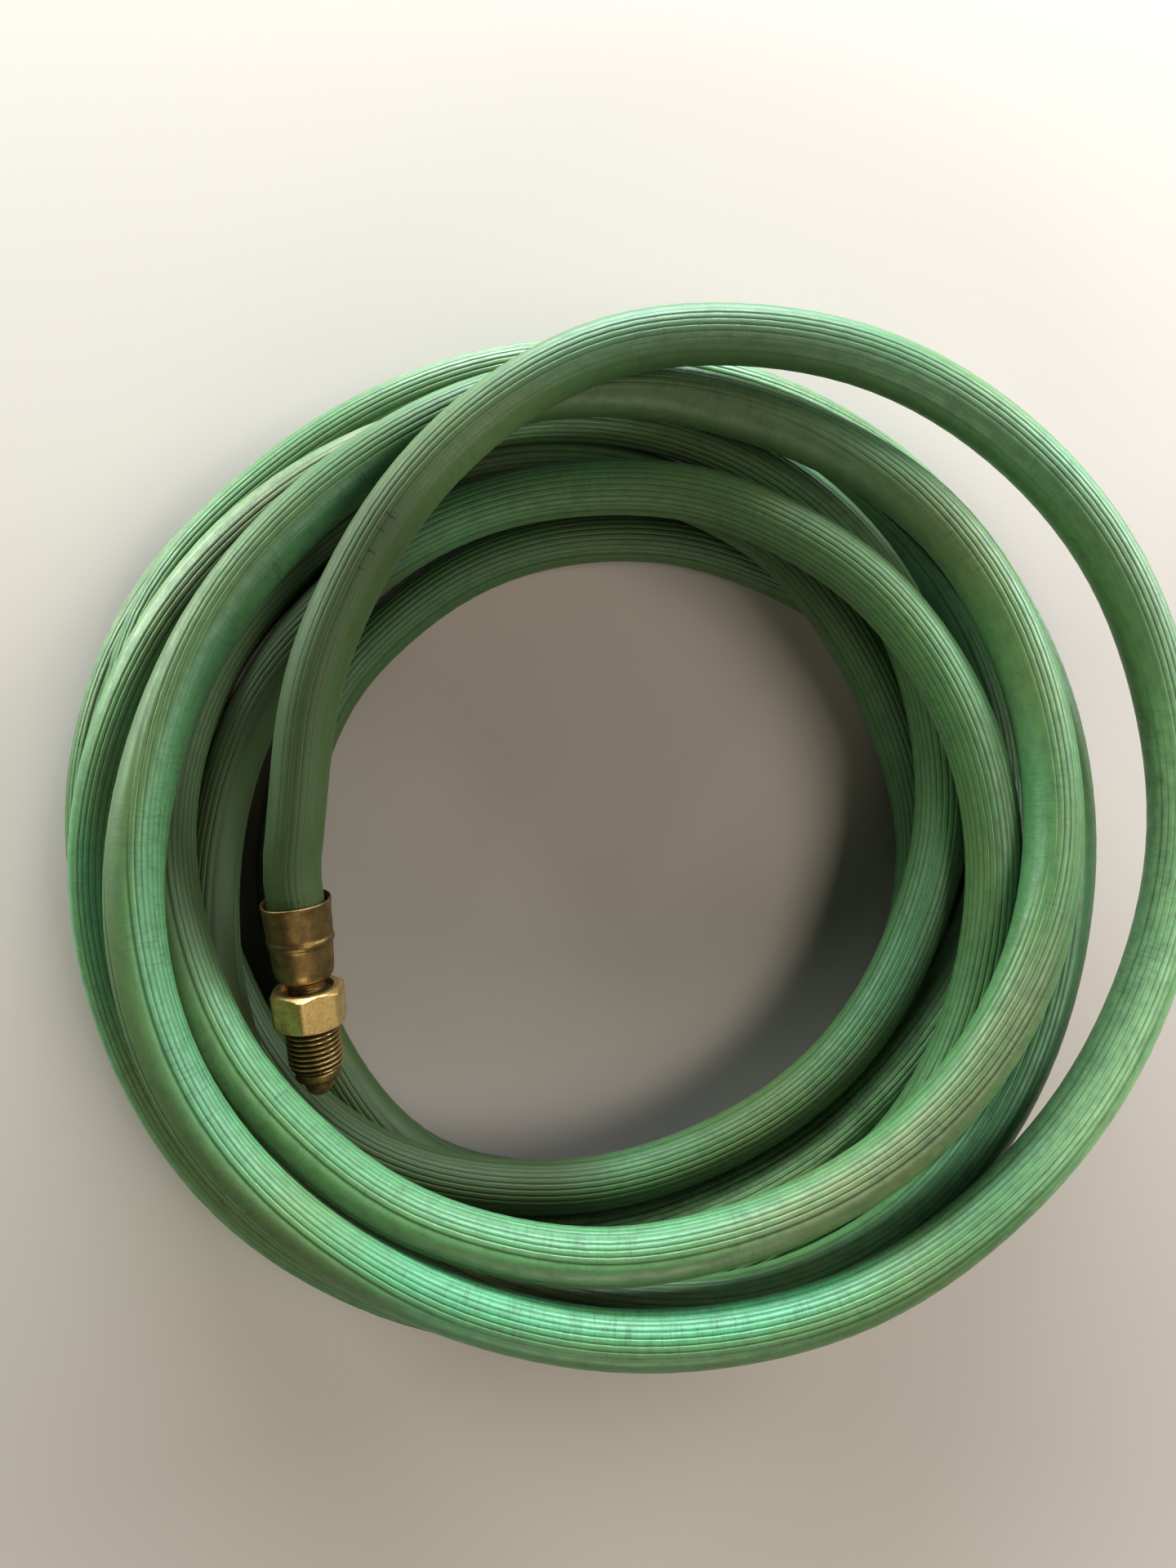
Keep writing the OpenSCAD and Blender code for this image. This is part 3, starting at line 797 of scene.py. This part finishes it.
dress(hose, rubber())
ferrule_mat = brass("tarnished brass", srgb(138, 112, 70), srgb(102, 82, 52), 0.36, 0.5, 0.82)
nut_mat = brass("satin brass", srgb(208, 178, 120), srgb(180, 148, 94), 0.34, 0.46, 0.85, seed=2.0, thread=True)
nipple_mat = brass("turned brass", srgb(142, 116, 72), srgb(106, 84, 52), 0.38, 0.5, 0.85, seed=5.0)
for obj in (ferrule_a, ferrule_b):
    dress(obj, ferrule_mat)
for obj in (swivel_a, swivel_b):
    dress(obj, nut_mat)
for obj in (nipple_a, nipple_b):
    dress(obj, nipple_mat)
liner_mat = layer_material("black inner tube", srgb(24, 24, 25), srgb(38, 38, 40), 0.55)
braid_mat = layer_material("yarn braid", srgb(176, 172, 158), srgb(140, 134, 118), 0.8, weave=900)
for name in ("liner_a", "liner_b"):
    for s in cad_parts[name].material_slots:
        s.material = liner_mat
for name in ("braid_a", "braid_b"):
    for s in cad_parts[name].material_slots:
        s.material = braid_mat


# ---------------------------------------------------------------- floor and light
def floor():
    me = bpy.data.meshes.new("floor")
    around = [2 * math.pi * k / 96 for k in range(96)]
    me.from_pydata([(1.1 * math.cos(a), 1.1 * math.sin(a), 0) for a in around], [], [tuple(range(96))])
    obj = bpy.data.objects.new("floor", me)
    bpy.context.scene.collection.objects.link(obj)
    g = Graph("pale floor")
    g.sh("Base Color", srgb(182, 171, 162))
    g.sh("Roughness", 0.8)
    dress(obj, g.mat)


def area_light(name, place, aim, size, power, colour):
    data = bpy.data.lights.new(name, "AREA")
    data.shape = "RECTANGLE"
    data.size, data.size_y = size
    data.energy = power
    data.color = colour
    obj = bpy.data.objects.new(name, data)
    obj.location = place
    obj.rotation_euler = (Vector(aim) - Vector(place)).to_track_quat("-Z", "Y").to_euler()
    bpy.context.scene.collection.objects.link(obj)


floor()
area_light("window", (0.0, 1.21, 0.31), (0, 0, 0), (1.1, 0.45), 32, (0.84, 0.93, 1.06))
area_light("window_left", (-1.05, 0.61, 0.31), (0, 0, 0), (0.7, 0.45), 14, (0.84, 1.0, 0.92))
area_light("window_right", (1.05, 0.61, 0.33), (0, 0, 0), (0.7, 0.45), 15, (0.86, 0.97, 1.02))
area_light("side", (0.71, -0.12, 1.02), (0, 0, 0), (0.7, 0.45), 6, (1.0, 0.96, 0.92))
area_light("front", (0.0, -1.08, 0.62), (0, 0, 0), (0.7, 0.45), 3.8, (1.0, 1.0, 0.85))
world = bpy.data.worlds.new("room")
world.use_nodes = True
faint = world.node_tree.nodes["Background"]
faint.inputs[0].default_value = (0.92, 0.92, 0.84, 1)
faint.inputs[1].default_value = 0.012
# a plain pale backdrop that is seen but lights nothing
plain = world.node_tree.nodes.new("ShaderNodeBackground")
plain.inputs[0].default_value = (0.6, 0.57, 0.52, 1)
plain.inputs[1].default_value = 1.0
seen = world.node_tree.nodes.new("ShaderNodeLightPath")
either = world.node_tree.nodes.new("ShaderNodeMixShader")
world.node_tree.links.new(seen.outputs["Is Camera Ray"], either.inputs[0])
world.node_tree.links.new(faint.outputs[0], either.inputs[1])
world.node_tree.links.new(plain.outputs[0], either.inputs[2])
world.node_tree.links.new(either.outputs[0], world.node_tree.nodes["World Output"].inputs["Surface"])
bpy.context.scene.world = world
view = bpy.context.scene.view_settings
view.view_transform = "Standard"
view.exposure = 0.5
view.gamma = 0.83
